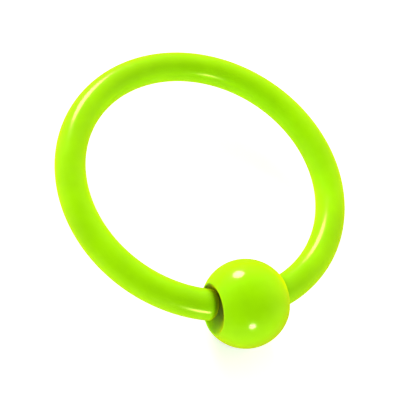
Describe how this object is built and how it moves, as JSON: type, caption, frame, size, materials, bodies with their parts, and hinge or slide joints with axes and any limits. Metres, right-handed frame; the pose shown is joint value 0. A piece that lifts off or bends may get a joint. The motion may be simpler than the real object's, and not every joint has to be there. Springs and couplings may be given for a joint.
{
  "type": "leg band",
  "caption": "Round-section open ring of springy lime plastic, closed into a leg band by a separate ball that its two domed ends pinch in opposite cupped seats.",
  "frame": {"origin": "centre of the leg opening, in the ring's mid plane", "axes": "+Z along the leg, square to the ring; +Y from the leg opening's centre to the closure ball; +X along the ball's seat axis, towards the right arm"},
  "size_m": [0.025, 0.0273, 0.0071],
  "materials": {
    "ring_plastic": "glossy fluorescent lime, slightly translucent",
    "ball_plastic": "glossy fluorescent lime, slightly translucent"
  },
  "bodies": {
    "back": {"ring_back": "ring_plastic"},
    "left_arm": {"ring_left_arm": "ring_plastic"},
    "right_arm": {"ring_right_arm": "ring_plastic"},
    "ball": {"closure_ball": "ball_plastic"}
  },
  "joints": [
    {"name": "left_arm_flex", "type": "hinge", "parent": "back", "child": "left_arm", "pos_m": [-0.00958, -0.00803, 0], "axis": [0, 0, 1], "range_deg": [0, 16], "stiffness_Nm_per_rad": 0.26, "springref_deg": -2.86},
    {"name": "right_arm_flex", "type": "hinge", "parent": "back", "child": "right_arm", "pos_m": [0.00958, -0.00803, 0], "axis": [0, 0, -1], "range_deg": [0, 16], "stiffness_Nm_per_rad": 0.26, "springref_deg": -2.86},
    {"name": "ball_release", "type": "slide", "parent": "back", "child": "ball", "axis": [0, 1, 0], "range_m": [0, 0.0067]}
  ],
  "couplings": [
    {"joint": "right_arm_flex", "follows": "left_arm_flex", "ratio": 1},
    {"joint": "ball_release", "follows": "left_arm_flex", "m_per_rad": 0.024}
  ]
}
